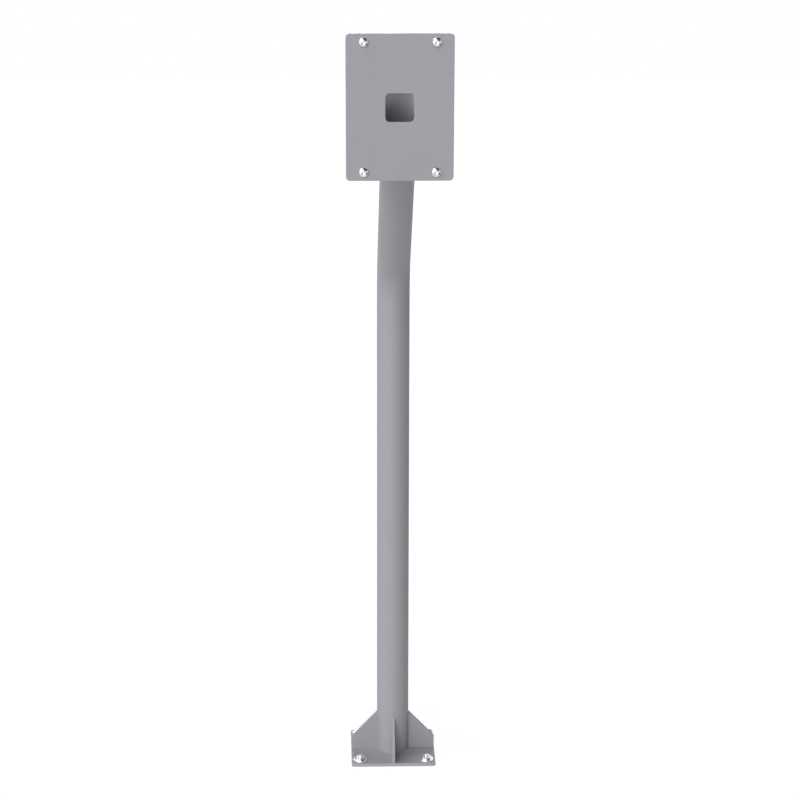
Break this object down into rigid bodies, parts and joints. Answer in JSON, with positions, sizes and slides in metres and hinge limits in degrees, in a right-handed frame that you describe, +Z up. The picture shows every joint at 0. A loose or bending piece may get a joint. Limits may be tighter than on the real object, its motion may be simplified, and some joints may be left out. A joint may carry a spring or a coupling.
{
  "type": "gate intercom post",
  "caption": "Grey powder-coated gooseneck post with a gusseted foot plate, a forward-leaning neck and an upright face plate with a cable window for a gate intercom.",
  "frame": {"origin": "centre of the foot plate's underside, on the axis of the upright and of the cable entry", "axes": "+Z up along the upright; the neck leans towards -Y and the face plate looks along -Y; +X to the right seen from behind the face plate's front as the viewer faces it"},
  "size_m": [0.15, 0.3769, 1.2],
  "materials": {
    "powder_coat": "satin grey powder coat over steel",
    "plated_steel": "bright zinc plate"
  },
  "bodies": {
    "root": {"foot_plate": "powder_coat", "post_tube": "powder_coat", "face_plate": "powder_coat", "gusset_front": "powder_coat", "gusset_rear": "powder_coat", "gusset_left": "powder_coat", "gusset_right": "powder_coat", "anchor_studs": "plated_steel", "anchor_washers": "plated_steel", "anchor_nuts": "plated_steel", "plate_screws": "plated_steel", "plate_nuts": "plated_steel"}
  },
  "joints": []
}
